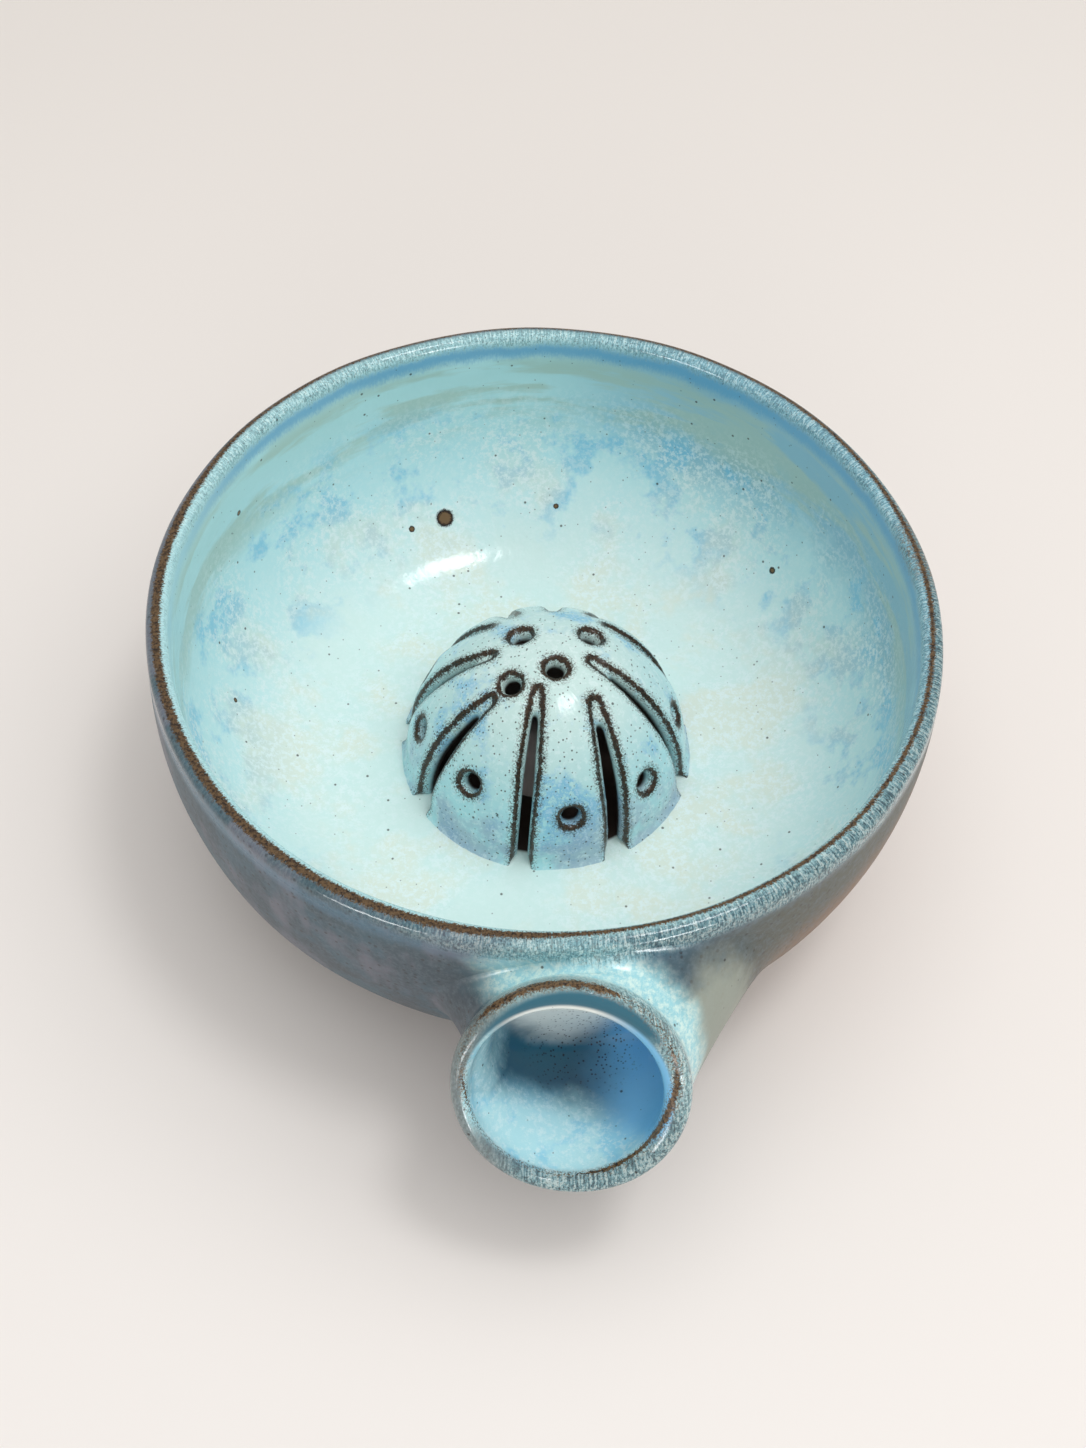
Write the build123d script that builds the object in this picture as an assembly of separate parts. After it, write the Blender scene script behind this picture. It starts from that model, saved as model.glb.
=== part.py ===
"""Berry colander bowl: a thrown stoneware bowl with a pierced dome on its floor and one hollow handle.

Millimetres. The table is at Z = 0, the bowl's axis is Z, and the handle points along -Y.
Every piece is thrown or rolled by itself and luted to its neighbours with slip.
"""
from build123d import *
import math
import os

# The bowl
rim_radius = 85.0
bowl_height = 70.0
lip_thickness = 4.6
belly_swell = 0.6
belly_height = 54.0
belly_wall = 5.6
heel_radius = 52.0
floor_radius = 46.0
floor_thickness = 7.5
heel_fullness = 0.66
wall_fullness = 0.54
drain_radius = 13.0
drain_rounding = 2.0

# The foot ring, set back from the edge of the flat underside
foot_height = 6.0
foot_width = 7.0
foot_setback = 2.0
foot_rounding = 1.8

# The dome, set a little off the bowl's axis, and its piercing
dome_radius = 33.0
dome_skirt = 1.0
dome_wall = 4.5
dome_offset = 1.5
slot_foot_width = 6.4
slot_tip_width = 2.6
hole_diameter = 5.2
coil_leg = 3.0
coil_hollow = 0.45

# Azimuths are turned from the handle's side, -Y, towards +X.
# Each hand-cut slot: azimuth of its foot, azimuth and elevation of its tip
slots = [
    (-15.0, -25.0, 76.7),
    (23.0, 43.0, 65.7),
    (66.0, 93.0, 72.7),
    (100.0, 135.0, 50.7),
    (141.0, 149.0, 46.0),
    (172.0, 173.0, 50.5),
    (-162.0, -161.0, 50.5),
    (-128.0, -143.0, 50.9),
    (-101.0, -112.0, 65.3),
    (-65.0, -64.0, 61.8),
]

# Each drilled hole: azimuth and elevation, seen from the middle of the dome's foot
lower_holes = [
    (5.0, 26.0),
    (44.0, 26.0),
    (84.0, 26.0),
    (130.0, 21.0),
    (159.0, 21.0),
    (-175.0, 21.0),
    (-149.0, 21.0),
    (-118.0, 23.0),
    (-85.0, 26.0),
    (-44.0, 31.0),
]
crown_holes = [(-65.0, 72.5), (40.0, 86.5), (130.0, 66.5), (-149.0, 70.5)]

# The handle: a tube that bends up from the wall to a tilted mouth with a rolled lip.
# Drops are measured from the bowl's rim down to the middle of a section.
mouth_radius = 23.0
mouth_lip_bead = 0.6
mouth_drop = 20.5
mouth_reach = 17.7
mouth_shift = -4.5
mouth_tilt = 31.0
mouth_skew = -10.0
neck_half_width = 22.8
neck_half_height = 21.0
neck_drop = 24.0
neck_reach = 8.0
neck_tilt = 18.0
root_half_width = 26.0
root_half_height = 19.5
root_drop = 26.0
root_shift = 4.0
root_flare = 15.0
root_depth = 14.0
handle_wall = 4.2
handle_coil_band = 3.6

# Clearance of the slip between two luted curved faces
slip = 0.2

# Sizes that follow from the ones above
belly_radius = rim_radius + belly_swell
lip_round = lip_thickness / 2
floor_bottom = foot_height
floor_top = floor_bottom + floor_thickness
foot_radius = heel_radius - foot_setback
dome_height = dome_radius + dome_skirt
mouth_lip_round = handle_wall / 2 + mouth_lip_bead
mouth_height = bowl_height - mouth_drop
neck_height = bowl_height - neck_drop
root_height = bowl_height - root_drop


def turned(profile):
    """Solid turned on the bowl's axis from a closed profile of radius and height."""
    return revolve(Plane.XZ * make_face(profile), Axis.Z)


def swelling_curve(foot, belly):
    """Curve that leaves the foot level and meets the belly upright."""
    run = belly[0] - foot[0]
    rise = belly[1] - foot[1]
    heel_pull = (foot[0] + heel_fullness * run, foot[1])
    wall_pull = (belly[0], belly[1] - wall_fullness * rise)
    return Bezier(foot, heel_pull, wall_pull, belly)


def wall_line(foot, belly, lip):
    """Side of the wall from the floor's edge over the belly to the lip."""
    upright = (belly[0], (belly[1] + lip[1]) / 2)
    return [swelling_curve(foot, belly), Bezier(belly, upright, lip)]


def make_bowl_shell():
    heel = (heel_radius, floor_bottom)
    belly_outside = (belly_radius, belly_height)
    lip_outside = (rim_radius, bowl_height - lip_round)
    lip_crest = (rim_radius - lip_round, bowl_height)
    lip_inside = (rim_radius - lip_thickness, bowl_height - lip_round)
    belly_inside = (belly_radius - belly_wall, belly_height)
    floor_edge = (floor_radius, floor_top)
    drain_edge_above = (drain_radius + drain_rounding, floor_top)
    drain_side_above = (drain_radius, floor_top - drain_rounding)
    drain_side_below = (drain_radius, floor_bottom + drain_rounding)
    drain_edge_below = (drain_radius + drain_rounding, floor_bottom)
    return turned(
        wall_line(heel, belly_outside, lip_outside)
        + [Bezier(lip_outside, (lip_outside[0], bowl_height), lip_crest)]
        + [Bezier(lip_crest, (lip_inside[0], bowl_height), lip_inside)]
        + wall_line(floor_edge, belly_inside, lip_inside)
        + [Line(floor_edge, drain_edge_above)]
        + [TangentArc(drain_edge_above, drain_side_above, tangent=(-1, 0))]
        + [Line(drain_side_above, drain_side_below)]
        + [TangentArc(drain_side_below, drain_edge_below, tangent=(0, -1))]
        + [Line(drain_edge_below, heel)]
    )


def bowl_outside(grow):
    """Everything inside the bowl's outer surface, grown outwards."""
    heel = (heel_radius + grow, floor_bottom - grow)
    belly = (belly_radius + grow, belly_height)
    lip = (rim_radius + grow, bowl_height + grow)
    return turned(wall_line(heel, belly, lip) + [Polyline(lip, (0, lip[1]), (0, heel[1]), heel)])


def make_foot_ring():
    ring = turned(
        Polyline(
            (foot_radius - foot_width, 0),
            (foot_radius, 0),
            (foot_radius, foot_height),
            (foot_radius - foot_width, foot_height),
            close=True,
        )
    )
    return fillet(ring.edges().group_by(Axis.Z)[0], foot_rounding)


def dome_outside(radius):
    """Solid hemisphere on a short upright skirt that stands on the floor."""
    skirt_top = floor_top + dome_skirt
    return turned(
        [
            CenterArc((0, skirt_top), radius, start_angle=0, arc_size=90),
            Polyline((0, skirt_top + radius), (0, floor_top), (radius, floor_top), (radius, skirt_top)),
        ]
    )


def slot_cutter(foot_azimuth, tip_azimuth, tip_elevation):
    """Upright blade, narrow at the slot's tip and widest outside the dome's foot."""
    tip_distance = dome_radius * math.cos(math.radians(tip_elevation))
    tip = Rot(0, 0, tip_azimuth) * Pos(0, -tip_distance) * Circle(slot_tip_width / 2)
    foot = Rot(0, 0, foot_azimuth) * Pos(0, -dome_radius - coil_leg) * Circle(slot_foot_width / 2)
    blade = make_hull((tip + foot).edges())
    return extrude(Pos(0, 0, floor_top) * blade, dome_height + dome_wall)


def hole_cutter(azimuth, elevation):
    """Drill that runs out through the dome from the middle of its foot."""
    drill = Cylinder(
        hole_diameter / 2,
        dome_radius + dome_height,
        align=(Align.CENTER, Align.CENTER, Align.MIN),
    )
    return Pos(0, 0, floor_top) * Rot(0, 0, azimuth) * Rot(90 - elevation, 0, 0) * drill


def make_strainer_dome(slot_blades):
    drills = [hole_cutter(azimuth, elevation) for azimuth, elevation in lower_holes + crown_holes]
    hollow = dome_outside(dome_radius - dome_wall)
    return dome_outside(dome_radius) - hollow - slot_blades - drills


def make_dome_coil(slot_blades):
    """Hollow-faced coil in the corner between dome and floor, one length between every two slots."""
    inner = dome_radius - dome_wall
    toe = (dome_radius + coil_leg, floor_top)
    top = (dome_radius, floor_top + coil_leg)
    corner_ring = turned(
        [
            SagittaArc(toe, top, coil_hollow),
            Polyline(top, (inner, floor_top + coil_leg), (inner, floor_top), toe),
        ]
    )
    return corner_ring - dome_outside(dome_radius + slip) - slot_blades


def handle_section(place, tilt, skew, half_width, half_height):
    """Oval section of the handle, facing outwards, turned by the skew and leaning up by the tilt."""
    return Pos(*place) * Rot(0, 0, skew) * Rot(90 - tilt, 0, 0) * Ellipse(half_width, half_height)


def handle_core(inset):
    """Handle from inside the bowl's wall to the middle of the lip, with its sides moved in."""
    deep = handle_section(
        (root_shift, root_depth - belly_radius, root_height),
        0,
        0,
        root_half_width + root_flare - inset,
        root_half_height - inset,
    )
    root = handle_section(
        (root_shift, -belly_radius, root_height),
        0,
        0,
        root_half_width - inset,
        root_half_height - inset,
    )
    neck_share = neck_reach / mouth_reach
    neck = handle_section(
        (
            root_shift + neck_share * (mouth_shift - root_shift),
            -belly_radius - neck_reach,
            neck_height,
        ),
        neck_tilt,
        neck_share * mouth_skew,
        neck_half_width - inset,
        neck_half_height - inset,
    )
    mouth = handle_section(
        (mouth_shift, -belly_radius - mouth_reach, mouth_height),
        mouth_tilt,
        mouth_skew,
        mouth_radius - mouth_lip_bead - inset,
        mouth_radius - mouth_lip_bead - inset,
    )
    return loft([deep, root, neck, mouth])


def make_handle():
    """Handle tube with its whole rolled lip, and the coil round its root."""
    lip_place = Pos(mouth_shift, -belly_radius - mouth_reach, mouth_height)
    lip_turn = Rot(0, 0, mouth_skew) * Rot(90 - mouth_tilt, 0, 0)
    lip_section = Pos(mouth_radius - mouth_lip_round, 0) * Circle(mouth_lip_round)
    lip = lip_place * lip_turn * revolve(Plane.XZ * lip_section, Axis.Z)
    sleeve = handle_core(0) - handle_core(handle_wall) - bowl_outside(slip)
    coil_zone = bowl_outside(slip + handle_coil_band)
    tube = sleeve - coil_zone + (lip - bowl_outside(slip))
    coil = (sleeve & coil_zone) - lip
    return tube, coil


def main():
    blades = [slot_cutter(*slot) for slot in slots]
    dome_place = Pos(dome_offset, 0, 0)
    handle_tube, handle_coil = make_handle()
    nodes = {
        "bowl_shell": make_bowl_shell(),
        "foot_ring": make_foot_ring(),
        "strainer_dome": dome_place * make_strainer_dome(blades),
        "dome_coil": dome_place * make_dome_coil(blades),
        "handle_tube": handle_tube,
        "handle_coil": handle_coil,
    }
    os.makedirs("parts", exist_ok=True)
    for name, shape in nodes.items():
        export_step(shape, f"parts/{name}.step")


main()
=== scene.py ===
"""Looks of a berry colander bowl: thrown stoneware under a pale blue glaze that breaks brown on its edges.

Metres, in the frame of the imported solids: the table at Z = 0, the bowl's axis on Z, the handle towards -Y.
Shapes are written in millimetres, and MM turns them into metres.
"""
import math

import bmesh
import bpy
import numpy as np
from mathutils import Euler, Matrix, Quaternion, Vector


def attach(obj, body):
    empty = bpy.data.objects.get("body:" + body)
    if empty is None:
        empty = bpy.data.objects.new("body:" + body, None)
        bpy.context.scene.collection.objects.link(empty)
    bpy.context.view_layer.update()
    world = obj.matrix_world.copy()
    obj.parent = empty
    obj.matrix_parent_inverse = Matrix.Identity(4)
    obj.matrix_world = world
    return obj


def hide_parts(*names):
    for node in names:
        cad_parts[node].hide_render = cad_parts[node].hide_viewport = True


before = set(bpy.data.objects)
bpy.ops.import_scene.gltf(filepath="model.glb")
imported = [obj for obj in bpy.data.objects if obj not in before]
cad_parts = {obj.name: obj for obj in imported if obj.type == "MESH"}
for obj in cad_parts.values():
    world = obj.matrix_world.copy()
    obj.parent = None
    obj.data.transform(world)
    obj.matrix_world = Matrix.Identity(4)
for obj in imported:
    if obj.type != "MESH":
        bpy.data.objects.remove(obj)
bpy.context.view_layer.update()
scene = bpy.context.scene
scene.view_settings.view_transform = "Standard"

MM = 0.001

# The bowl's outline, as in the solids
RIM_RADIUS = 85.0
BOWL_HEIGHT = 70.0
LIP_THICKNESS = 4.6
BELLY_RADIUS = 85.6
BELLY_HEIGHT = 54.0
BELLY_WALL = 5.6
HEEL_RADIUS = 52.0
FLOOR_RADIUS = 46.0
FLOOR_BOTTOM = 6.0
FLOOR_TOP = 13.5
HEEL_FULLNESS = 0.66
WALL_FULLNESS = 0.54
DRAIN_RADIUS = 13.0
DRAIN_ROUNDING = 2.0
LIP_CREST = RIM_RADIUS - LIP_THICKNESS / 2
FLOOR_RINGS = (20.0, 26.0, 32.0, 39.0)

# Points along the curves of the outlines, and steps round the axis
WALL_POINTS = 28
LIP_POINTS = 6
DRAIN_POINTS = 4
FOOT_POINTS = 6
DOME_POINTS = 24
DOME_FOOT_POINTS = 6
BOWL_STEPS = 192
DOME_STEPS = 128
HANDLE_STEPS = 48

# The foot ring
FOOT_OUTSIDE = 50.0
FOOT_INSIDE = 43.0
FOOT_ROUNDING = 1.8
FOOT_SIDE_HEIGHT = 4.0
FOOT_OVERLAP = 0.2

# The dome and its piercing
DOME_RADIUS = 33.0
DOME_SKIRT = 1.0
DOME_WALL = 4.5
DOME_OFFSET = 1.5
DOME_SINK = 0.3
DOME_TOE = 35.2
DOME_FOOT_ANGLE = 5.0
DOME_FOOT_PULL = 0.8
SLOT_FOOT_RADIUS = 36.0
HOLE_DIAMETER = 4.2
FLARED_DIAMETER = 5.6
GLAZED_DEPTH = 2.4
DOME_GRAIN = 0.55

# Shares of a slot's length and widths there: of the groove outside, and of the cut through the wall
GROOVE = ([0.0, 0.55, 1.0], [2.3, 4.8, 4.0])
THROUGH_CUT = ([0.16, 0.55, 1.0], [1.5, 2.7, 2.5])
GROOVE_DEPTH = 1.4
EDGE_REACH = 2.8
EDGE_DEPTH = 0.4
EDGE_LEVELS = 10

# The blades and drills that cut the dome
BLADE_SIDES = 24
BLADE_LENGTH = 45.0
BLADE_MIDDLE = 32.0
DRILL_SIDES = 32
DRILL_LENGTH = 16.0
DRILL_MIDDLE = DOME_RADIUS - 1.0

# Foot azimuth, tip azimuth, tip elevation and fullness of each slot, turned from -Y towards +X
SLOTS = [
    (-15.0, -25.0, 76.7, 0.9),
    (23.0, 43.0, 65.7, 1.15),
    (66.0, 93.0, 72.7, 0.9),
    (100.0, 135.0, 50.7, 0.9),
    (141.0, 149.0, 46.0, 1.0),
    (172.0, 173.0, 50.5, 1.0),
    (-162.0, -161.0, 50.5, 1.0),
    (-128.0, -143.0, 50.9, 1.0),
    (-101.0, -112.0, 65.3, 0.9),
    (-65.0, -64.0, 61.8, 1.1),
]

# Azimuth and elevation of each hole, seen from the middle of the dome's foot
HOLES = [
    (5.0, 26.0),
    (44.0, 26.0),
    (84.0, 26.0),
    (130.0, 21.0),
    (159.0, 21.0),
    (-175.0, 21.0),
    (-149.0, 21.0),
    (-118.0, 23.0),
    (-85.0, 26.0),
    (-44.0, 31.0),
    (-65.0, 72.5),
    (40.0, 86.5),
    (130.0, 66.5),
    (-149.0, 70.5),
]

# The handle's mouth
MOUTH_CENTRE = Vector((-4.5, -103.3, 49.5))
MOUTH_TILT = 31.0
MOUTH_SKEW = -10.0
MOUTH_RADIUS = 23.0
MOUTH_LIP_ROUND = 2.7
LIP_RING_RADIUS = MOUTH_RADIUS - MOUTH_LIP_ROUND
CUP_SLANT = Vector((-1.0, -0.4, -0.7))
BROWN_TURN = 0.5

# The hand's unevenness, shared by all glazed pieces, in metres
WOBBLE_SIZE = 0.055
WOBBLE_DEPTH = 0.0012

# The floor, painted lighter towards the camera as painted light, with the places along Y where its far and
# near tones are full
FLOOR_SIZE = 6.0
FAR_END = 500.0
NEAR_END = -300.0

# The light of the room, and the point in metres that the panels face
ROOM_COLOUR = (1.0, 0.985, 0.97, 1.0)
ROOM_STRENGTH = 0.5
LAMP_AIM = Vector((0, 0, 0.03))

# The camera, fitted to the rim's outline
CAMERA_PLACE = Vector((-33.07, -244.84, 369.54))
CAMERA_AIM = Vector((-1.45, -15.38, 45.0))
CAMERA_ROLL = 3.174
SENSOR_HEIGHT = 36.0
FOCAL_LENGTH = 45.114


def bezier(corners, count):
    """Points along the Bezier curve of the given corners, the first left out."""
    points = []
    degree = len(corners) - 1
    for step in range(1, count + 1):
        share = step / count
        weights = [math.comb(degree, k) * share**k * (1 - share) ** (degree - k) for k in range(degree + 1)]
        across = sum(weight * corner[0] for weight, corner in zip(weights, corners))
        up = sum(weight * corner[1] for weight, corner in zip(weights, corners))
        points.append((across, up))
    return points


def arc(centre, radius, start, end, count):
    """Points along an arc between two angles in degrees, both ends included."""
    angles = [math.radians(start + (end - start) * step / count) for step in range(count + 1)]
    return [(centre[0] + radius * math.cos(a), centre[1] + radius * math.sin(a)) for a in angles]


def wall_curve(foot, belly, lip, count):
    """Side of the bowl's wall from the floor's edge over the belly to the lip."""
    heel_pull = (foot[0] + HEEL_FULLNESS * (belly[0] - foot[0]), foot[1])
    wall_pull = (belly[0], belly[1] - WALL_FULLNESS * (belly[1] - foot[1]))
    upright = (belly[0], (belly[1] + lip[1]) / 2)
    lower = bezier([foot, heel_pull, wall_pull, belly], count)
    return [foot] + lower + bezier([belly, upright, lip], count // 2)


def bowl_outline():
    """Closed outline of the bowl: floor, inside, lip, outside, underside and drain."""
    shoulder = BOWL_HEIGHT - LIP_THICKNESS / 2
    inside_lip = (RIM_RADIUS - LIP_THICKNESS, shoulder)
    outside_lip = (RIM_RADIUS, shoulder)
    crest = (LIP_CREST, BOWL_HEIGHT)
    inside_belly = (BELLY_RADIUS - BELLY_WALL, BELLY_HEIGHT)
    outside_belly = (BELLY_RADIUS, BELLY_HEIGHT)
    inside = wall_curve((FLOOR_RADIUS, FLOOR_TOP), inside_belly, inside_lip, WALL_POINTS)
    outside = wall_curve((HEEL_RADIUS, FLOOR_BOTTOM), outside_belly, outside_lip, WALL_POINTS)
    lip = bezier([inside_lip, (inside_lip[0], BOWL_HEIGHT), crest], LIP_POINTS)
    lip += bezier([crest, (outside_lip[0], BOWL_HEIGHT), outside_lip], LIP_POINTS)
    drain_middle = DRAIN_RADIUS + DRAIN_ROUNDING
    lower_bend = (drain_middle, FLOOR_BOTTOM + DRAIN_ROUNDING)
    upper_bend = (drain_middle, FLOOR_TOP - DRAIN_ROUNDING)
    drain = arc(lower_bend, DRAIN_ROUNDING, 270, 180, DRAIN_POINTS)
    drain += arc(upper_bend, DRAIN_ROUNDING, 180, 90, DRAIN_POINTS)
    floor_points = [(radius, FLOOR_TOP) for radius in FLOOR_RINGS]
    return drain[-1:] + floor_points + inside + lip + outside[-2::-1] + drain


def begin_piece(name):
    """A new mesh of one small plane in edit mode, with nothing else selected."""
    bpy.ops.object.select_all(action="DESELECT")
    bpy.ops.mesh.primitive_plane_add(size=MM, location=(0, 0, 0))
    piece = bpy.context.object
    piece.name = name
    piece.data.name = name
    bpy.ops.object.mode_set(mode="EDIT")
    bpy.ops.mesh.select_all(action="SELECT")
    return piece


def begin_empty(name):
    """A new mesh in edit mode with nothing in it yet."""
    piece = begin_piece(name)
    bpy.ops.mesh.delete(type="VERT")
    return piece


def end_piece(piece):
    """Merges doubles, turns the faces outwards and leaves edit mode."""
    bpy.ops.mesh.select_all(action="SELECT")
    bpy.ops.mesh.remove_doubles(threshold=0.00001)
    bpy.ops.mesh.normals_make_consistent(inside=False)
    bpy.ops.object.mode_set(mode="OBJECT")
    bpy.ops.object.shade_smooth()
    return piece


def turned_piece(name, outline, steps):
    """Piece drawn as a closed outline of radius and height and spun round the axis."""
    piece = begin_piece(name)
    bpy.ops.mesh.merge(type="CENTER")
    bpy.ops.transform.translate(value=(outline[0][0] * MM, 0, outline[0][1] * MM))
    for (radius, height), (next_radius, next_height) in zip(outline, outline[1:]):
        move = ((next_radius - radius) * MM, 0, (next_height - height) * MM)
        bpy.ops.mesh.extrude_vertices_move(TRANSFORM_OT_translate={"value": move})
    bpy.ops.mesh.select_all(action="SELECT")
    bpy.ops.mesh.spin(steps=steps, angle=math.tau, center=(0, 0, 0), axis=(0, 0, 1))
    return end_piece(piece)


def choose(*pieces):
    """Selects only the given pieces, with the first one active."""
    bpy.ops.object.select_all(action="DESELECT")
    for piece in pieces:
        piece.select_set(True)
    bpy.context.view_layer.objects.active = pieces[0]


def apply_modifier(piece, kind, **settings):
    """Adds a modifier with the given settings and applies it."""
    choose(piece)
    modifier = piece.modifiers.new(kind.lower(), kind)
    for name, value in settings.items():
        setattr(modifier, name, value)
    bpy.ops.object.modifier_apply(modifier=modifier.name)


def positions(piece):
    """Vertex positions in millimetres."""
    mesh = piece.data
    flat = np.empty(len(mesh.vertices) * 3)
    mesh.vertices.foreach_get("co", flat)
    return flat.reshape(-1, 3) / MM


def store(piece, name, values):
    """Keeps one number per vertex for the materials."""
    attribute = piece.data.attributes.new(name, "FLOAT", "POINT")
    attribute.data.foreach_set("value", np.asarray(values, dtype=np.float32))


def make_bowl():
    bowl = turned_piece("bowl", bowl_outline(), BOWL_STEPS)
    place = positions(bowl)
    radius = np.hypot(place[:, 0], place[:, 1])
    height = place[:, 2]
    beyond_crest = radius - LIP_CREST
    from_crest = np.hypot(beyond_crest, height - BOWL_HEIGHT)
    middle_heights = [9.0, 14.0, 20.0, 26.0, 40.0, 54.0, BOWL_HEIGHT]
    middle_radii = [40.0, 61.0, 71.0, 76.0, 81.4, 82.8, LIP_CREST]
    wall_middle = np.interp(height, middle_heights, middle_radii)
    store(bowl, "lip_mm", np.copysign(from_crest, beyond_crest))
    store(bowl, "inner", np.clip((wall_middle - radius) / LIP_THICKNESS + 0.5, 0, 1))
    return bowl


def make_foot():
    """Ring of bare clay with rounded treads, a little into the bowl's underside."""
    top = FLOOR_BOTTOM + FOOT_OVERLAP
    inner_bend = (FOOT_INSIDE + FOOT_ROUNDING, FOOT_ROUNDING)
    outer_bend = (FOOT_OUTSIDE - FOOT_ROUNDING, FOOT_ROUNDING)
    outline = [(FOOT_INSIDE, top), (FOOT_INSIDE, FOOT_SIDE_HEIGHT)]
    outline += arc(inner_bend, FOOT_ROUNDING, 180, 270, FOOT_POINTS)
    outline += [((FOOT_INSIDE + FOOT_OUTSIDE) / 2, 0.0)]
    outline += arc(outer_bend, FOOT_ROUNDING, 270, 360, FOOT_POINTS)
    outline += [(FOOT_OUTSIDE, FOOT_SIDE_HEIGHT), (FOOT_OUTSIDE, top), (FOOT_INSIDE, top)]
    return turned_piece("foot", outline, BOWL_STEPS)


def dome_outline():
    """Closed outline of the dome with the coil smoothed into its foot."""
    centre = (0.0, FLOOR_TOP + DOME_SKIRT)
    base = FLOOR_TOP - DOME_SINK
    toe = (DOME_TOE, base)
    outer = arc(centre, DOME_RADIUS, DOME_FOOT_ANGLE, 90, DOME_POINTS)
    toe_pull = (DOME_RADIUS + DOME_FOOT_PULL, FLOOR_TOP)
    side_pull = (DOME_RADIUS, FLOOR_TOP + DOME_FOOT_PULL)
    foot = bezier([toe, toe_pull, side_pull, outer[0]], DOME_FOOT_POINTS)
    inner = arc(centre, DOME_RADIUS - DOME_WALL, 90, 0, DOME_POINTS)
    return [toe] + foot[:-1] + outer + inner + [(DOME_RADIUS - DOME_WALL, base), toe]


def polar(azimuth, distance):
    """Point at an azimuth turned from -Y towards +X."""
    angle = math.radians(azimuth)
    return np.array([distance * math.sin(angle), -distance * math.cos(angle)])


def slot_ends(slot):
    """Tip and foot of a slot in plan."""
    foot_azimuth, tip_azimuth, tip_elevation = slot[:3]
    tip = polar(tip_azimuth, DOME_RADIUS * math.cos(math.radians(tip_elevation)))
    return tip, polar(foot_azimuth, SLOT_FOOT_RADIUS)


def cut_slot(slot, course):
    """Upright leaf-shaped blade, the hull of three posts between its tip and its foot."""
    tip, foot = slot_ends(slot)
    fullness = slot[-1]
    blade = begin_empty("slot_blade")
    for share, width in zip(*course):
        centre = tip + share * (foot - tip)
        bpy.ops.mesh.primitive_cylinder_add(
            vertices=BLADE_SIDES,
            radius=width * fullness / 2 * MM,
            depth=BLADE_LENGTH * MM,
            location=(centre[0] * MM, centre[1] * MM, BLADE_MIDDLE * MM),
        )
    bpy.ops.mesh.select_all(action="SELECT")
    bpy.ops.mesh.convex_hull()
    bpy.ops.object.mode_set(mode="OBJECT")
    return blade


def hole_axis(hole):
    """Direction of a drilled hole."""
    azimuth, elevation = (math.radians(angle) for angle in hole)
    flat = math.cos(elevation)
    return Vector((flat * math.sin(azimuth), -flat * math.cos(azimuth), math.sin(elevation)))


def cut_hole(hole, diameter):
    """Short drill through the dome's wall."""
    azimuth, elevation = hole
    drill = begin_empty("hole_drill")
    middle = (hole_axis(hole) * DRILL_MIDDLE + Vector((0, 0, FLOOR_TOP))) * MM
    bpy.ops.mesh.primitive_cylinder_add(
        vertices=DRILL_SIDES,
        radius=diameter / 2 * MM,
        depth=DRILL_LENGTH * MM,
        location=middle,
        rotation=(math.radians(90 - elevation), 0, math.radians(azimuth)),
    )
    bpy.ops.object.mode_set(mode="OBJECT")
    return drill


def slot_distance(place, slot):
    """Distance of points in plan from the edge of a slot's groove, less than zero inside it."""
    tip, foot = slot_ends(slot)
    along = foot - tip
    share = np.clip(((place - tip) @ along) / (along @ along), 0, 1)
    nearest = tip + share[:, None] * along
    fullness = slot[-1]
    half_width = np.interp(share, *GROOVE) * fullness / 2
    return np.linalg.norm(place - nearest, axis=1) - half_width


def piercing_distance(place):
    """Distance across the dome from the nearest slot or hole, and depth below the outer surface."""
    depth = DOME_RADIUS - np.linalg.norm(place - np.array([0, 0, FLOOR_TOP + DOME_SKIRT]), axis=1)
    apart = np.full(len(place), np.inf)
    for slot in SLOTS:
        apart = np.minimum(apart, slot_distance(place[:, :2], slot))
    from_foot = place - np.array([0, 0, FLOOR_TOP])
    for hole in HOLES:
        axis = np.array(hole_axis(hole))
        from_drill = np.linalg.norm(np.cross(from_foot, axis), axis=1) - FLARED_DIAMETER / 2
        apart = np.where(from_foot @ axis < 0, apart, np.minimum(apart, from_drill))
    return apart, np.maximum(depth, 0)


def soften_piercing(dome):
    """Rounds the outer edges of slots and holes, as thick glaze does."""
    apart, depth = piercing_distance(positions(dome))
    closeness = np.clip(2 - 2 * np.hypot(apart, depth) / EDGE_REACH, 0, 1)
    edges = dome.vertex_groups.new(name="pierced_edges")
    for level in range(1, EDGE_LEVELS + 1):
        chosen = np.flatnonzero(np.round(closeness * EDGE_LEVELS) == level)
        edges.add(chosen.tolist(), level / EDGE_LEVELS, "REPLACE")
    apply_modifier(dome, "SMOOTH", factor=0.5, iterations=4)
    apply_modifier(dome, "SMOOTH", factor=0.5, iterations=30, vertex_group=edges.name)


def join_pieces(pieces):
    """One object made of several."""
    choose(*pieces)
    bpy.ops.object.join()
    return bpy.context.object


def cut_away(piece, cutter):
    apply_modifier(piece, "BOOLEAN", operation="DIFFERENCE", object=cutter, solver="EXACT", use_self=True)
    bpy.data.objects.remove(cutter)


def groove_floor():
    """Ball that stops the grooves at their depth."""
    ball = begin_empty("groove_floor")
    bpy.ops.mesh.primitive_uv_sphere_add(
        segments=64,
        ring_count=32,
        radius=(DOME_RADIUS - GROOVE_DEPTH) * MM,
        location=(0, 0, (FLOOR_TOP + DOME_SKIRT) * MM),
    )
    bpy.ops.object.mode_set(mode="OBJECT")
    return ball


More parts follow.
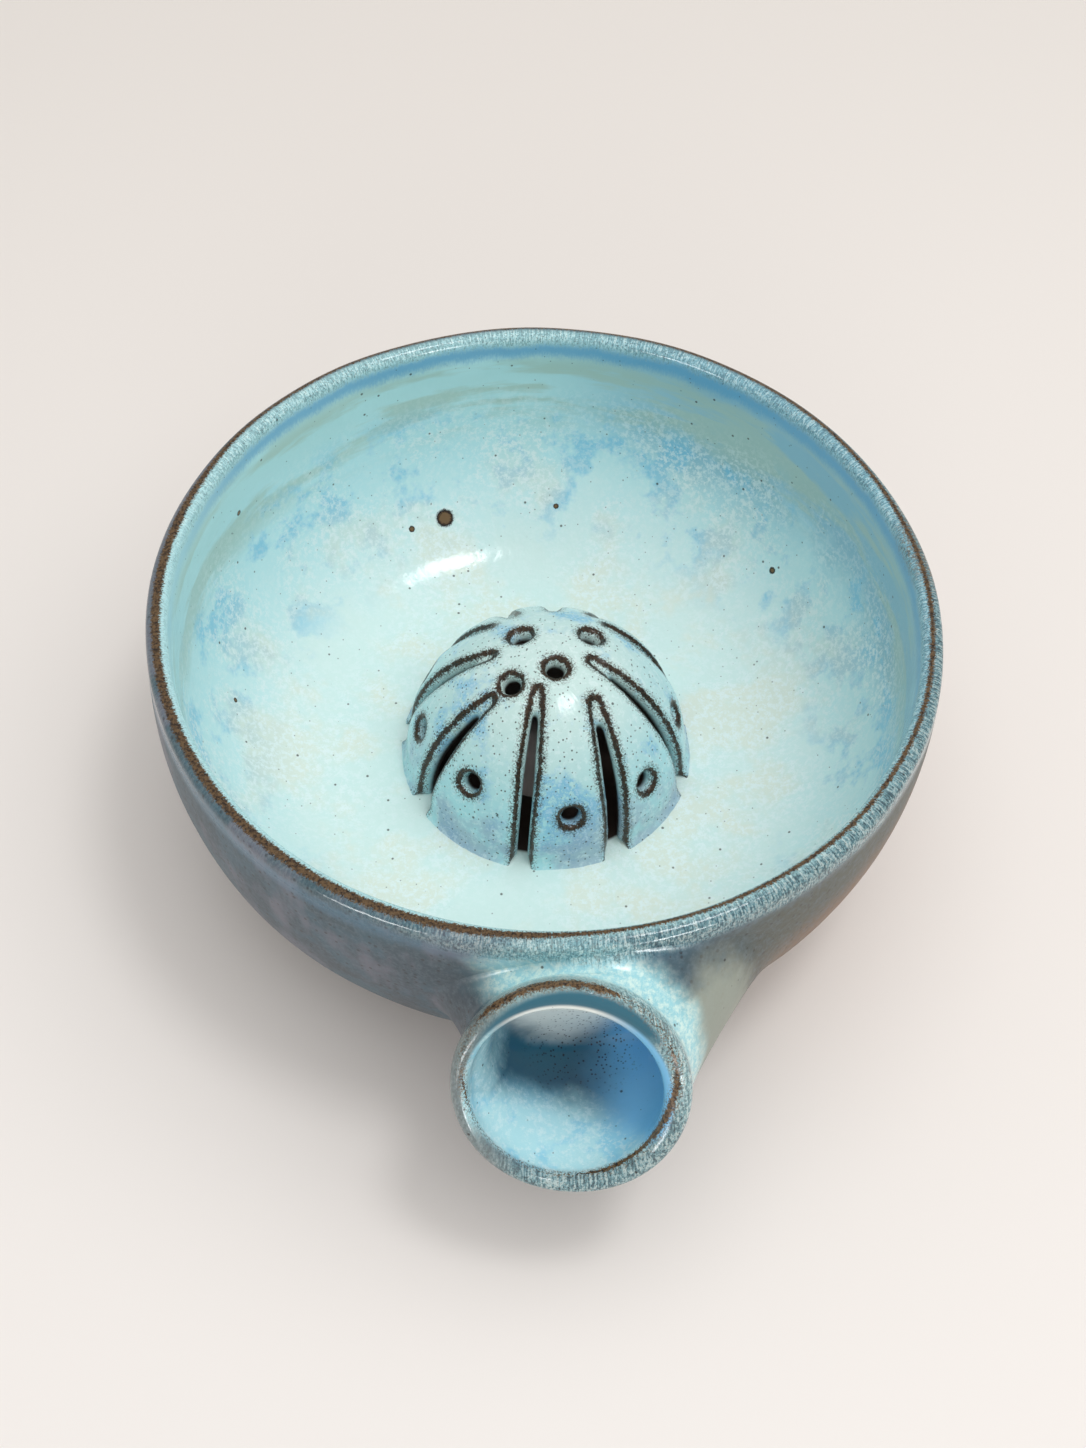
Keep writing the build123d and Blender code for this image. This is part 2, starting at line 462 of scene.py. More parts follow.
def make_dome():
    dome = turned_piece("dome", dome_outline(), DOME_STEPS)
    grooves = [cut_slot(slot, GROOVE) for slot in SLOTS]
    grooves += [cut_hole(hole, FLARED_DIAMETER) for hole in HOLES]
    groove = join_pieces(grooves)
    cut_away(groove, groove_floor())
    cut_away(dome, groove)
    cuts = [cut_slot(slot, THROUGH_CUT) for slot in SLOTS]
    cuts += [cut_hole(hole, HOLE_DIAMETER) for hole in HOLES]
    cut_away(dome, join_pieces(cuts))
    apply_modifier(dome, "REMESH", mode="VOXEL", voxel_size=DOME_GRAIN * MM, use_smooth_shade=True)
    soften_piercing(dome)
    apart, depth = piercing_distance(positions(dome))
    store(dome, "edge_mm", np.hypot(apart, depth - EDGE_DEPTH))
    # Painted shade: deeper than the glazed depth the dome is painted near black clay, for the shade inside
    # it
    store(dome, "inner", np.clip(depth - GLAZED_DEPTH, 0, 1))
    choose(dome)
    dome.location = (DOME_OFFSET * MM, 0, 0)
    bpy.ops.object.transform_apply(location=True, rotation=False, scale=False)
    return dome


def mouth_axis():
    """Direction that the handle's mouth faces."""
    tilt, skew = math.radians(MOUTH_TILT), math.radians(MOUTH_SKEW)
    return Vector((math.sin(skew) * math.cos(tilt), -math.cos(skew) * math.cos(tilt), math.sin(tilt)))


def oval(centre, half_width, half_height, tilt=0.0, skew=0.0, wall_gap=None, cup=0.0):
    """One ring of the handle; a ring with a wall gap is laid on the bowl's wall at that gap."""
    turn = (math.radians(90 - tilt), 0.0, math.radians(skew))
    return {
        "centre": Vector(centre),
        "size": (half_width, half_height),
        "turn": turn,
        "gap": wall_gap,
        "cup": cup,
    }


def lip_oval(forward, radius, cup, aside=0.0):
    """Round ring parallel to the mouth, moved along its axis and, inside the lip, aside."""
    centre = MOUTH_CENTRE + forward * mouth_axis() + aside * CUP_SLANT
    return oval(centre, radius, radius, MOUTH_TILT, MOUTH_SKEW, cup=cup)


def handle_rings():
    """Rings from inside the wall over the fillet, the neck and the lip into the cup."""
    off_wall = -125.0
    rings = [
        oval((4.0, off_wall, 43.0), 9.0, 7.0, wall_gap=-2.6),
        oval((4.0, off_wall, 43.0), 25.0, 18.0, wall_gap=-2.6),
        oval((7.5, off_wall, 43.2), 38.5, 25.1, wall_gap=-0.25),
        oval((6.8, off_wall, 43.3), 36.2, 23.9, wall_gap=0.05),
        oval((5.8, off_wall, 43.6), 33.7, 22.8, wall_gap=0.6),
        oval((4.6, off_wall, 44.2), 30.9, 21.8, wall_gap=1.8),
        oval((2.5, -88.3, 45.4), 26.5, 20.4),
        oval((-1.5, -96.4, 47.2), 22.7, 21.2, tilt=22.0, skew=-6.0),
    ]
    rings += [lip_oval(-3.8, 22.6, 0.0), lip_oval(-1.6, 23.0, 0.0), lip_oval(0.3, 23.3, 0.0)]
    rings += [lip_oval(2.2, 22.7, 0.0), lip_oval(3.0, 20.9, 0.5, 0.4), lip_oval(2.2, 19.1, 1.0, 0.8)]
    rings += [lip_oval(0.2, 18.4, 1.0, 1.0), lip_oval(-2.4, 18.6, 1.0, 0.8)]
    rings += [
        oval((-1.6, -98.2, 47.8), 18.8, 17.3, tilt=24.0, skew=-7.0, cup=1.0),
        oval((1.0, -93.2, 45.7), 19.6, 16.4, tilt=15.0, skew=-4.0, cup=1.0),
        oval((2.6, off_wall, 44.4), 19.6, 15.3, wall_gap=3.4, cup=1.0),
        oval((2.8, off_wall, 44.2), 17.2, 13.2, wall_gap=1.4, cup=1.0),
        oval((3.0, off_wall, 44.0), 12.0, 9.4, wall_gap=0.7, cup=1.0),
        oval((3.0, off_wall, 44.0), 4.6, 3.6, wall_gap=0.6, cup=1.0),
    ]
    return rings


def select_rings(piece, chosen):
    """Selects only the vertices of the rings with the given numbers, in edit mode."""
    bpy.ops.mesh.select_all(action="DESELECT")
    shape = bmesh.from_edit_mesh(piece.data)
    shape.verts.ensure_lookup_table()
    for number in chosen:
        for vertex in shape.verts[number * HANDLE_STEPS : (number + 1) * HANDLE_STEPS]:
            vertex.select_set(True)
    shape.select_flush(True)
    bmesh.update_edit_mesh(piece.data)


def add_ring(ring):
    """Adds one oval loop in edit mode and leaves it selected."""
    bpy.ops.mesh.select_all(action="DESELECT")
    bpy.ops.mesh.primitive_circle_add(
        vertices=HANDLE_STEPS,
        radius=MM,
        fill_type="NOTHING",
        location=ring["centre"] * MM,
        rotation=ring["turn"],
    )
    bpy.ops.transform.resize(
        value=(*ring["size"], 1.0),
        orient_type="GLOBAL",
        orient_matrix=Euler(ring["turn"]).to_matrix(),
        orient_matrix_type="GLOBAL",
        center_override=ring["centre"] * MM,
    )


def weigh_selected(piece, group, weight):
    """Gives the selected vertices a weight in a vertex group."""
    piece.vertex_groups.active_index = group.index
    scene.tool_settings.vertex_group_weight = weight
    bpy.ops.object.vertex_group_assign()


def skin_rings(piece, count):
    """Joins each ring to the next with faces and closes both ends."""
    for number in range(count - 1):
        select_rings(piece, (number, number + 1))
        bpy.ops.mesh.bridge_edge_loops()
    for number in (0, count - 1):
        select_rings(piece, (number,))
        bpy.ops.mesh.edge_face_add()
        bpy.ops.mesh.poke()


def make_handle(bowl):
    handle = begin_empty("handle")
    rings = handle_rings()
    gaps = {}
    cup_group = handle.vertex_groups.new(name="cup")
    for number, ring in enumerate(rings):
        add_ring(ring)
        if ring["gap"] is not None:
            wall_group = handle.vertex_groups.new(name=f"wall_{number}")
            weigh_selected(handle, wall_group, 1.0)
            gaps[wall_group.name] = ring["gap"]
        weigh_selected(handle, cup_group, ring["cup"])
    skin_rings(handle, len(rings))
    end_piece(handle)
    for group_name, gap in gaps.items():
        apply_modifier(
            handle,
            "SHRINKWRAP",
            target=bowl,
            vertex_group=group_name,
            wrap_method="PROJECT",
            wrap_mode="ABOVE_SURFACE",
            use_project_y=True,
            use_positive_direction=True,
            use_negative_direction=False,
            offset=gap * MM,
        )
    apply_modifier(handle, "SUBSURF", levels=2, render_levels=2)
    keep_handle_fields(handle)
    return handle


def keep_handle_fields(handle):
    """Stores how far each point is from the lip's crest, and whether it is in the cup."""
    cup_index = handle.vertex_groups["cup"].index
    cup = np.zeros(len(handle.data.vertices))
    for vertex in handle.data.vertices:
        for entry in vertex.groups:
            if entry.group == cup_index:
                cup[vertex.index] = entry.weight
    local = positions(handle) - np.array(MOUTH_CENTRE)
    axis = np.array(mouth_axis())
    forward = local @ axis
    spoke = local - forward[:, None] * axis
    radius = np.maximum(np.linalg.norm(spoke, axis=1), 0.001)
    spoke_up = spoke[:, 2] / radius
    section_angle = np.arctan2(forward, radius - LIP_RING_RADIUS)
    to_right = np.clip(spoke[:, 0] / radius, 0, 1)
    to_top = np.clip(spoke_up, 0, 1)
    crest_angle = np.arctan2(axis[2], spoke_up) + BROWN_TURN * to_right - BROWN_TURN * to_top
    apart = np.abs((section_angle - crest_angle + math.pi) % math.tau - math.pi)
    from_ring = np.hypot(forward, radius - LIP_RING_RADIUS)
    edge = apart * MOUTH_LIP_ROUND + np.maximum(from_ring - MOUTH_LIP_ROUND, 0) * 2
    store(handle, "edge_mm", edge)
    store(handle, "lip_mm", from_ring)
    store(handle, "inner", cup)


def add_wobble(pieces):
    """Moves every glazed piece by the same soft field, so that nothing is machine round."""
    wobble = bpy.data.textures.new("hand_wobble", "CLOUDS")
    wobble.cloud_type = "COLOR"
    wobble.noise_scale = WOBBLE_SIZE
    wobble.noise_depth = 1
    for piece in pieces:
        apply_modifier(
            piece,
            "DISPLACE",
            texture=wobble,
            texture_coords="LOCAL",
            direction="RGB_TO_XYZ",
            strength=WOBBLE_DEPTH,
            mid_level=0.5,
        )


def tone(red, green, blue):
    """Colour written as in a picture, 0 to 255, as the shader's linear numbers."""
    linear = []
    for part in (red, green, blue):
        share = part / 255
        linear.append(share / 12.92 if share <= 0.04045 else ((share + 0.055) / 1.055) ** 2.4)
    return (*linear, 1.0)


class Field:
    """A number that varies over a surface; operators on it add Math nodes to its material."""

    def __init__(self, finish, socket):
        self.finish = finish
        self.socket = socket

    def maths(self, operation, first, second=0.0):
        return self.finish.node("ShaderNodeMath", {"operation": operation}, {0: first, 1: second})

    def __add__(self, other):
        return self.maths("ADD", self, other)

    def __radd__(self, other):
        return self.maths("ADD", other, self)

    def __sub__(self, other):
        return self.maths("SUBTRACT", self, other)

    def __rsub__(self, other):
        return self.maths("SUBTRACT", other, self)

    def __mul__(self, other):
        return self.maths("MULTIPLY", self, other)

    def __rmul__(self, other):
        return self.maths("MULTIPLY", other, self)

    def __truediv__(self, other):
        return self.maths("DIVIDE", self, other)

    def __rtruediv__(self, other):
        return self.maths("DIVIDE", other, self)

    def higher(self, other):
        return self.maths("MAXIMUM", self, other)

    def root(self):
        return self.maths("SQRT", self)

    def size(self):
        return self.maths("ABSOLUTE", self)

    def rise(self, start, end):
        """0 at start, 1 at end, with a soft course; start may be the larger."""
        settings = {"interpolation_type": "SMOOTHSTEP"}
        return self.finish.node(
            "ShaderNodeMapRange", settings, {"Value": self, "From Min": start, "From Max": end}
        )


class Finish:
    """A material and the one way of adding nodes to it."""

    def __init__(self, name):
        self.material = bpy.data.materials.new(name)
        self.material.use_nodes = True
        self.tree = self.material.node_tree
        self.tree.nodes.clear()

    def node(self, kind, settings=None, inputs=None, output=0):
        made = self.tree.nodes.new(kind)
        for name, value in (settings or {}).items():
            if name == "stops":
                self.set_stops(made.color_ramp, value)
            else:
                setattr(made, name, value)
        for key, value in (inputs or {}).items():
            if isinstance(value, Field):
                self.tree.links.new(value.socket, made.inputs[key])
            else:
                made.inputs[key].default_value = value
        return Field(self, made.outputs[output])

    @staticmethod
    def set_stops(ramp, stops):
        while len(ramp.elements) < len(stops):
            ramp.elements.new(1.0)
        for element, (place, colour) in zip(ramp.elements, stops):
            element.position = place
            element.color = colour

    def blend(self, share, first, second):
        """Colour that goes from first to second."""
        settings = {"data_type": "RGBA"}
        return self.node("ShaderNodeMix", settings, {0: share, 6: first, 7: second}, output=2)

    def ramp(self, value, stops):
        return self.node("ShaderNodeValToRGB", {"stops": stops}, {"Fac": value})

    def place(self):
        """Object coordinates in millimetres."""
        coordinate = self.node("ShaderNodeTexCoord", output=3)
        settings = {"operation": "SCALE"}
        return self.node("ShaderNodeVectorMath", settings, {0: coordinate, "Scale": 1 / MM})

    def axes(self, vector):
        """The three numbers of a vector."""
        first = self.node("ShaderNodeSeparateXYZ", None, {0: vector})
        sockets = first.socket.node.outputs
        return [Field(self, socket) for socket in sockets]

    def vector(self, across, along, up):
        return self.node("ShaderNodeCombineXYZ", None, {0: across, 1: along, 2: up})

    def noise(self, vector, size, detail=3.0, roughness=0.55):
        """Soft noise whose lumps are about the given size in millimetres."""
        inputs = {"Vector": vector, "Scale": 1 / size, "Detail": detail, "Roughness": roughness}
        return self.node("ShaderNodeTexNoise", None, inputs)

    def spots(self, vector, spacing):
        """Distance from the middle of the nearest of scattered spots, as a share of their spacing."""
        inputs = {"Vector": vector, "Scale": 1 / spacing}
        return self.node("ShaderNodeTexVoronoi", None, inputs)

    def spot_choice(self, vector, spacing):
        """A chance number for each spot."""
        inputs = {"Vector": vector, "Scale": 1 / spacing}
        colour = self.node("ShaderNodeTexVoronoi", None, inputs, output=1)
        return self.node("ShaderNodeSeparateColor", None, {0: colour})

    def kept(self, name):
        """Number stored on the piece's vertices."""
        settings = {"attribute_type": "GEOMETRY", "attribute_name": name}
        return self.node("ShaderNodeAttribute", settings, output=2)

    def bump(self, height, strength, depth):
        inputs = {"Height": height, "Strength": strength, "Distance": depth * MM}
        return self.node("ShaderNodeBump", None, inputs)

    def surface(self, colour, roughness, normal=None):
        inputs = {"Base Color": colour, "Roughness": roughness}
        if normal is not None:
            inputs["Normal"] = normal
        shader = self.node("ShaderNodeBsdfPrincipled", None, inputs)
        made = self.tree.nodes.new("ShaderNodeOutputMaterial")
        self.tree.links.new(shader.socket, made.inputs["Surface"])


class GlazeFields:
    """The patterns that all glazed pieces share, as functions of place alone, so that they meet unseen."""

    def __init__(self, finish):
        self.finish = finish
        self.place = finish.place()
        self.x, self.y, self.z = finish.axes(self.place)
        self.radius = (self.x * self.x + self.y * self.y + 1.0).root()
        self.side = self.x / self.radius
        self.back = self.y / self.radius
        self.beyond_rim = self.radius - LIP_CREST
        below_rim = self.z - BOWL_HEIGHT
        self.from_rim = (self.beyond_rim * self.beyond_rim + below_rim * below_rim).root()
        forward = self.along(mouth_axis(), MOUTH_CENTRE)
        apart = self.near(MOUTH_CENTRE, (1.0, 1.0, 1.0))
        from_ring = (apart * apart - forward * forward).higher(0.0).root() - LIP_RING_RADIUS
        self.from_mouth = (forward * forward + from_ring * from_ring).root()
        self.runs = self.streaks(60.0, 0.2, 7.0)
        self.hairs = self.streaks(80.0, 0.3, 0.36)
        self.rings = self.streaks(18.0, 1.2, 9.0)
        self.clouds = finish.noise(self.place, 24.0, detail=3.0)
        self.patches = finish.noise(self.place, 11.0, detail=4.0, roughness=0.6)
        self.crystals = finish.noise(self.place, 1.3, detail=4.0, roughness=0.75)
        self.grain = finish.noise(self.place, 0.6, detail=4.0, roughness=0.7)
        self.flecks = finish.noise(self.place, 0.36, detail=2.0, roughness=0.6)

    def streaks(self, around, down, size):
        """Noise drawn out up the wall by a large weight around, and round it by a small one."""
        place = self.finish.vector(self.side * around, self.back * around, self.z * down)
        return self.finish.noise(place, size, detail=4.0, roughness=0.6)

    def specks(self, spacing, size, share):
        """Scattered round specks of a size and mean spacing, in the given share of the places."""
        chosen = self.finish.spot_choice(self.place, spacing).rise(1.0 - share, 1.02 - share)
        return self.finish.spots(self.place, spacing).rise(size / spacing, 0.5 * size / spacing) * chosen

    def near(self, centre, reach):
        """0 at a point and 1 at its reach, which differs along the three axes."""
        parts = zip((self.x, self.y, self.z), centre, reach)
        across, along, up = ((axis - middle) / length for axis, middle, length in parts)
        return (across * across + along * along + up * up).root()

    def along(self, direction, origin):
        """Distance along a direction from a point."""
        parts = zip((self.x, self.y, self.z), origin, direction)
        first, second, third = ((axis - start) * share for axis, start, share in parts)
        return first + second + third

    def towards(self, side, back, start, end):
        """Rises on the part of the pot that faces the given side."""
        return (self.side * side + self.back * back).rise(start, end)

    def in_mouth(self):
        """Distances across and up the handle's mouth, as it is seen from above the handle."""
        return self.along(SEEN_RIGHT, MOUTH_CENTRE), self.along(SEEN_UP, MOUTH_CENTRE)


OUTSIDE_TONES = [
    (0.00, tone(86, 72, 62)),
    (0.22, tone(70, 74, 78)),
    (0.50, tone(67, 78, 87)),
    (0.78, tone(58, 76, 87)),
    (1.00, tone(66, 88, 97)),
]
INSIDE_TONES = [
    (0.00, tone(212, 236, 232)),
    (0.18, tone(202, 236, 237)),
    (0.40, tone(188, 232, 237)),
    (0.62, tone(182, 228, 232)),
    (0.84, tone(178, 224, 226)),
    (1.00, tone(188, 232, 235)),
]
CREAM = tone(228, 230, 212)
WHITE_BLUE = tone(228, 244, 244)
SKY_BLUE = tone(112, 194, 226)
SPRAY_BLUE = tone(98, 176, 216)
POOL_BLUE = tone(92, 162, 202)
WALL_BLUE_AND_SHADE = tone(110, 166, 194)
PALE_CYAN = tone(180, 226, 232)
GREY_OLIVE = tone(82, 82, 66)
SAGE = tone(166, 196, 184)
LAVENDER = tone(108, 109, 121)
LIGHT_SLATE = tone(100, 117, 127)
MAUVE = tone(158, 154, 180)
RUST = tone(138, 96, 62)
SHADE_TEAL = tone(52, 104, 122)
STEEL_BLUE = tone(124, 196, 238)
SLATE_BLUE = tone(58, 92, 112)
FUR_TONES = [
    (0.0, tone(54, 86, 98)),
    (0.5, tone(120, 172, 182)),
    (1.0, tone(212, 232, 230)),
]
PATCH_TEAL = tone(66, 96, 110)
FLANK_GREY = tone(164, 170, 156)
SADDLE_SHEEN_CYAN = tone(160, 214, 222)
SADDLE_SHEEN_WHITE = tone(214, 240, 234)
CUP_PAINTED_LIGHT = tone(246, 250, 244)
DOME_CROWN = tone(200, 226, 222)
LIP_GREY = tone(130, 140, 135)
KHAKI = tone(122, 96, 64)
DARK_BROWN = tone(30, 19, 12)
IRON = tone(40, 32, 30)
SHADE_DARK_CLAY = tone(48, 34, 27)
CLAY_BROWN = tone(158, 120, 92)
CLAY_TAN = tone(178, 142, 112)
CLAY_GRIT = tone(206, 178, 150)
FLOOR_FAR_SHADED = tone(226, 220, 214)
FLOOR_NEAR_LIT = tone(240, 235, 231)

# Single iron spots on the inner wall: place and size
IRON_SPOTS = [
    ((-18.3, 66.4, 22.6), 2.3),
    ((61.1, 39.6, 27.5), 0.9),
    ((-26.9, 63.3, 22.5), 0.8),
    ((-67.1, 43.5, 53.2), 0.7),
    ((10.3, 68.4, 22.9), 0.7),
    ((-70.7, 10.1, 25.6), 0.6),
]

# Directions across and up the handle's mouth, as it is seen from above the handle
SEEN_RIGHT = (0.995, -0.092, 0.032)
SEEN_UP = (0.056, 0.813, 0.580)

# The left part of the rim: the direction that it faces, and where it begins and is full
RIM_LEFT = (-0.88, -0.47, 0.3, 0.85)


def outside_colour(fields):
    """Slate blue outside: lavender on the left, olive and rust on the right, pale glaze with a painted
    highlight over the handle.
    """
    finish = fields.finish
    height = fields.z + (fields.runs - 0.5) * 14.0 + (fields.clouds - 0.5) * 10.0
    colour = finish.ramp((height - 6.0) / 64.0, OUTSIDE_TONES)
    cloudy = fields.clouds * 0.6 + fields.runs * 0.4
    lavender = cloudy.rise(0.46, 0.55) * fields.side.rise(0.2, -0.3) * 0.9
    colour = finish.blend(lavender, colour, LAVENDER)
    teal = fields.patches.rise(0.47, 0.6) * (0.7 - lavender * 0.5)
    colour = finish.blend(teal, colour, PATCH_TEAL)
    olive = fields.side.rise(0.15, 0.5) * height.rise(76.0, 64.0) * 0.85
    colour = finish.blend(olive, colour, GREY_OLIVE)
    rust = fields.side.rise(0.25, 0.7) * (height - fields.side * 20.0).rise(46.0, 26.0) * 0.9
    colour = finish.blend(rust, colour, RUST)
    pale = fields.crystals.rise(0.42, 0.66) * 0.45
    colour = finish.blend(pale, colour, LIGHT_SLATE)
    colour = finish.blend(fields.specks(1.7, 0.5, 0.6) * 0.6, colour, IRON)
    across, up = fields.in_mouth()
    drift = (fields.patches - 0.5) * 8.0
    over_handle = (up + across * 0.6 + drift).rise(4.0, 13.0)
    flank = (fields.near((27.0, -95.0, 50.0), (12.0, 16.0, 17.0)) + drift * 0.1).rise(1.2, 0.6)
    colour = finish.blend(flank * 0.75, colour, FLANK_GREY)
    # Painted highlight: the saddle over the handle is painted pale cyan to white, partly pale glaze and
    # partly a painted reflection
    saddle_sheen = (fields.from_mouth + drift).rise(13.5, 7.0) * over_handle
    sheen_colour = finish.blend(fields.crystals.rise(0.4, 0.65), SADDLE_SHEEN_CYAN, SADDLE_SHEEN_WHITE)
    return finish.blend(saddle_sheen, colour, sheen_colour)


def inside_colour(fields):
    """Pale turquoise inside: cream clouds low down, sage arcs and blue pools higher, white crystals, and
    blue on the right wall that is partly glaze and partly painted shade.
    """
    finish = fields.finish
    height = fields.z + (fields.runs - 0.5) * 8.0 + (fields.clouds - 0.5) * 22.0
    colour = finish.ramp((height - 13.0) / 57.0, INSIDE_TONES)
    # Painted shade: the right inner wall is painted blue, partly the glaze and partly shade where it faces
    # away from the lamps
    right = fields.towards(0.95, 0.3, 0.3, 0.85) * height.rise(30.0, 50.0)
    colour = finish.blend(right * 0.7, colour, WALL_BLUE_AND_SHADE)
    sage = fields.rings.rise(0.44, 0.58) * fields.z.rise(38.0, 50.0) * fields.z.rise(67.0, 60.0)
    colour = finish.blend(sage * 0.75, colour, SAGE)
    blue = fields.patches.rise(0.48, 0.62) * fields.z.rise(14.0, 24.0) * fields.z.rise(56.0, 38.0)
    colour = finish.blend(blue * 0.7, colour, SKY_BLUE)
    cream = (fields.clouds + fields.patches * 0.6).rise(0.74, 0.95) * fields.z.rise(42.0, 20.0)
    colour = finish.blend(cream * 0.6, colour, CREAM)
    white = fields.crystals.rise(0.44, 0.62) * (fields.clouds.rise(0.38, 0.6) * 0.6 + 0.2)
    colour = finish.blend(white * fields.z.rise(60.0, 34.0), colour, WHITE_BLUE)
    for place, size in IRON_SPOTS:
        apart = fields.near(place, (size, size, size)) + (fields.flecks - 0.5) * 0.5
        colour = finish.blend(apart.rise(1.15, 0.85), colour, DARK_BROWN)
        colour = finish.blend(apart.rise(0.8, 0.5) * 0.8, colour, KHAKI)
    return colour


def oval_distance(across, up, middle, reach):
    """0 in the middle of an oval and 1 on its outline."""
    first = (across - middle[0]) / reach[0]
    second = (up - middle[1]) / reach[1]
    return (first * first + second * second).root()


def cup_colour(fields):
    """Inside of the handle: cream painted light at the top, teal painted shade on the left, steel blue on
    the right, pale painted light below.
    """
    finish = fields.finish
    drift = (fields.patches - 0.5) * 6.0
    across, up = fields.in_mouth()
    across = across + drift
    up = up + drift * 0.6
    colour = finish.blend(across.rise(0.0, 14.0), SLATE_BLUE, STEEL_BLUE)
    # Painted shade: a teal patch left of the cup's middle, where the light falling in does not reach
    teal = oval_distance(across, up, (-5.0, 5.0), (12.0, 8.0)).rise(1.3, 0.2)
    colour = finish.blend(teal * 0.9, colour, SHADE_TEAL)
    # Painted light: a cream patch at the top of the cup's far wall, where light falls in
    cream = oval_distance(across, up, (-1.5, 12.5), (11.0, 7.0)).rise(1.4, 0.6)
    colour = finish.blend(cream, colour, CUP_PAINTED_LIGHT)
    # Painted light: the lower part of the cup, where light falls in, is painted pale
    low = (up + across * 0.35).rise(-3.0, -10.5).higher(across.rise(-12.0, -16.0) * 0.7)
    colour = finish.blend(low, colour, PALE_CYAN)
    blue = low * fields.patches.rise(0.46, 0.62) * 0.6
    colour = finish.blend(blue, colour, SKY_BLUE)
    pale = fields.crystals.rise(0.45, 0.65) * low * 0.5
    colour = finish.blend(pale, colour, WHITE_BLUE)
    speckled = oval_distance(across, up, (3.0, 4.0), (12.0, 10.0)).rise(1.2, 0.5)
    return finish.blend(fields.specks(0.8, 0.28, 0.75) * speckled * 0.85, colour, IRON)


def dome_colour(fields):
    """Pale cyan to cream dome with blue and mauve mottling and many fine specks."""
    finish = fields.finish
    high = (fields.z + (fields.clouds - 0.5) * 20.0).rise(20.0, 46.0)
    colour = finish.blend(high, PALE_CYAN, DOME_CROWN)
    front = fields.near((2.0, -30.0, 29.0), (10.0, 9.0, 12.0)).rise(1.2, 0.4)
    blue = (fields.patches + front * 0.2).rise(0.5, 0.66) * fields.crystals.rise(0.34, 0.58)
    colour = finish.blend(blue * 0.9, colour, SPRAY_BLUE)
    mauve = fields.z.rise(34.0, 20.0) * (fields.clouds * 0.5 + fields.patches * 0.5).rise(0.44, 0.56)
    colour = finish.blend(mauve * 0.5, colour, MAUVE)
    white = fields.crystals.rise(0.48, 0.64) * 0.45
    colour = finish.blend(white, colour, WHITE_BLUE)
    return finish.blend(fields.specks(1.0, 0.27, 0.5) * 0.85, colour, IRON)


def hairs_over(fields, colour, share):
    """Pale and blue hairs of thin glaze with dark flecks between them."""
    finish = fields.finish
    fur = finish.ramp((fields.hairs * 0.6 + fields.grain * 0.4).rise(0.4, 0.6), FUR_TONES)
    colour = finish.blend(share, colour, fur)
    return finish.blend(share * fields.flecks.rise(0.55, 0.62) * 0.9, colour, IRON)


def rim_colour(fields, colour):
    """Thin glaze round the bowl's rim: a blue pool some way below it, then hairs up to the lip."""
    finish = fields.finish
    ragged = fields.from_rim + (fields.hairs - 0.5) * 2.5 + (fields.patches - 0.5) * 3.0
    outside = fields.beyond_rim.rise(-0.8, 0.8)
    left = fields.towards(*RIM_LEFT)
    front_right = fields.towards(0.8, -0.6, 0.0, 0.6)
    pool = ragged.rise(2.5, 4.5) * ragged.rise(8.0, 5.0)
    pool = pool * (0.8 - left * 0.6) * (1.0 - outside * front_right * 0.9)
    colour = finish.blend(pool, colour, POOL_BLUE)
    inside_share = 0.55 - left * 0.3
    share = inside_share + outside * (0.08 + front_right * 0.5 - inside_share)
    reach = 3.2 + front_right * outside * 1.8
    return hairs_over(fields, colour, share * (ragged - reach).rise(1.2, -1.2))


def rim_break(fields, lip):
    """Brown line of the bowl's lip: broad on its top to the left, thin on its seen edge elsewhere."""
    broad = fields.towards(*RIM_LEFT)
    half_width = 0.6 + broad * 0.4
    middle = fields.back * 1.3 * (1.0 - broad)
    ragged = (lip - middle).size() - (fields.hairs - 0.5) * 1.6 - (fields.flecks - 0.5) * 1.6
    right = fields.near((84.0, 10.0, 69.5), (6.0, 15.0, 6.0)).rise(1.1, 0.5)
    worn = right * fields.grain.rise(0.45, 0.58)
    return (half_width - ragged).rise(-0.3, 0.3).higher(worn * 0.8)


def edge_break(fields, edge, half_width, fringe):
    """Ragged brown line along an edge, with bristles that reach out over the fringe."""
    ragged = edge - (fields.crystals - 0.5) * half_width * 2.0 - (fields.flecks - 0.5) * 1.6
    reach = edge - (fields.grain - 0.5) * fringe
    bristle = reach.rise(fringe, half_width) * fields.flecks.rise(0.46, 0.58)
    return ragged.rise(half_width * 1.2, half_width * 0.6).higher(bristle * 0.75)


def glaze_over(fields, colour, broken, golden, bare=0.0, dull=0.0):
    """Breaks the glaze brown where it is thin, adds iron specks, and sets gloss and bump."""
    finish = fields.finish
    brown = finish.blend(fields.grain.rise(0.34, 0.62) * golden, DARK_BROWN, KHAKI)
    colour = finish.blend(broken, colour, brown)
    speck = fields.specks(4.0, 0.42, 0.4).higher(fields.specks(1.8, 0.22, 0.35) * 0.8)
    colour = finish.blend(speck * 0.8, colour, IRON)
    # Painted shade: bare places get a near black clay that stands in for the shade there
    colour = finish.blend(bare, colour, SHADE_DARK_CLAY)
    peel = finish.noise(fields.place, 3.2, detail=2.0)
    height = peel * 0.6 + fields.runs * 0.5 + fields.grain * 0.05 - broken * 0.25
    normal = finish.bump(height, 0.35, 0.5)
    roughness = fields.grain * 0.1 + broken * 0.1 + bare * 0.6 + dull * 0.3 + 0.1
    finish.surface(colour, roughness, normal)
    return finish.material


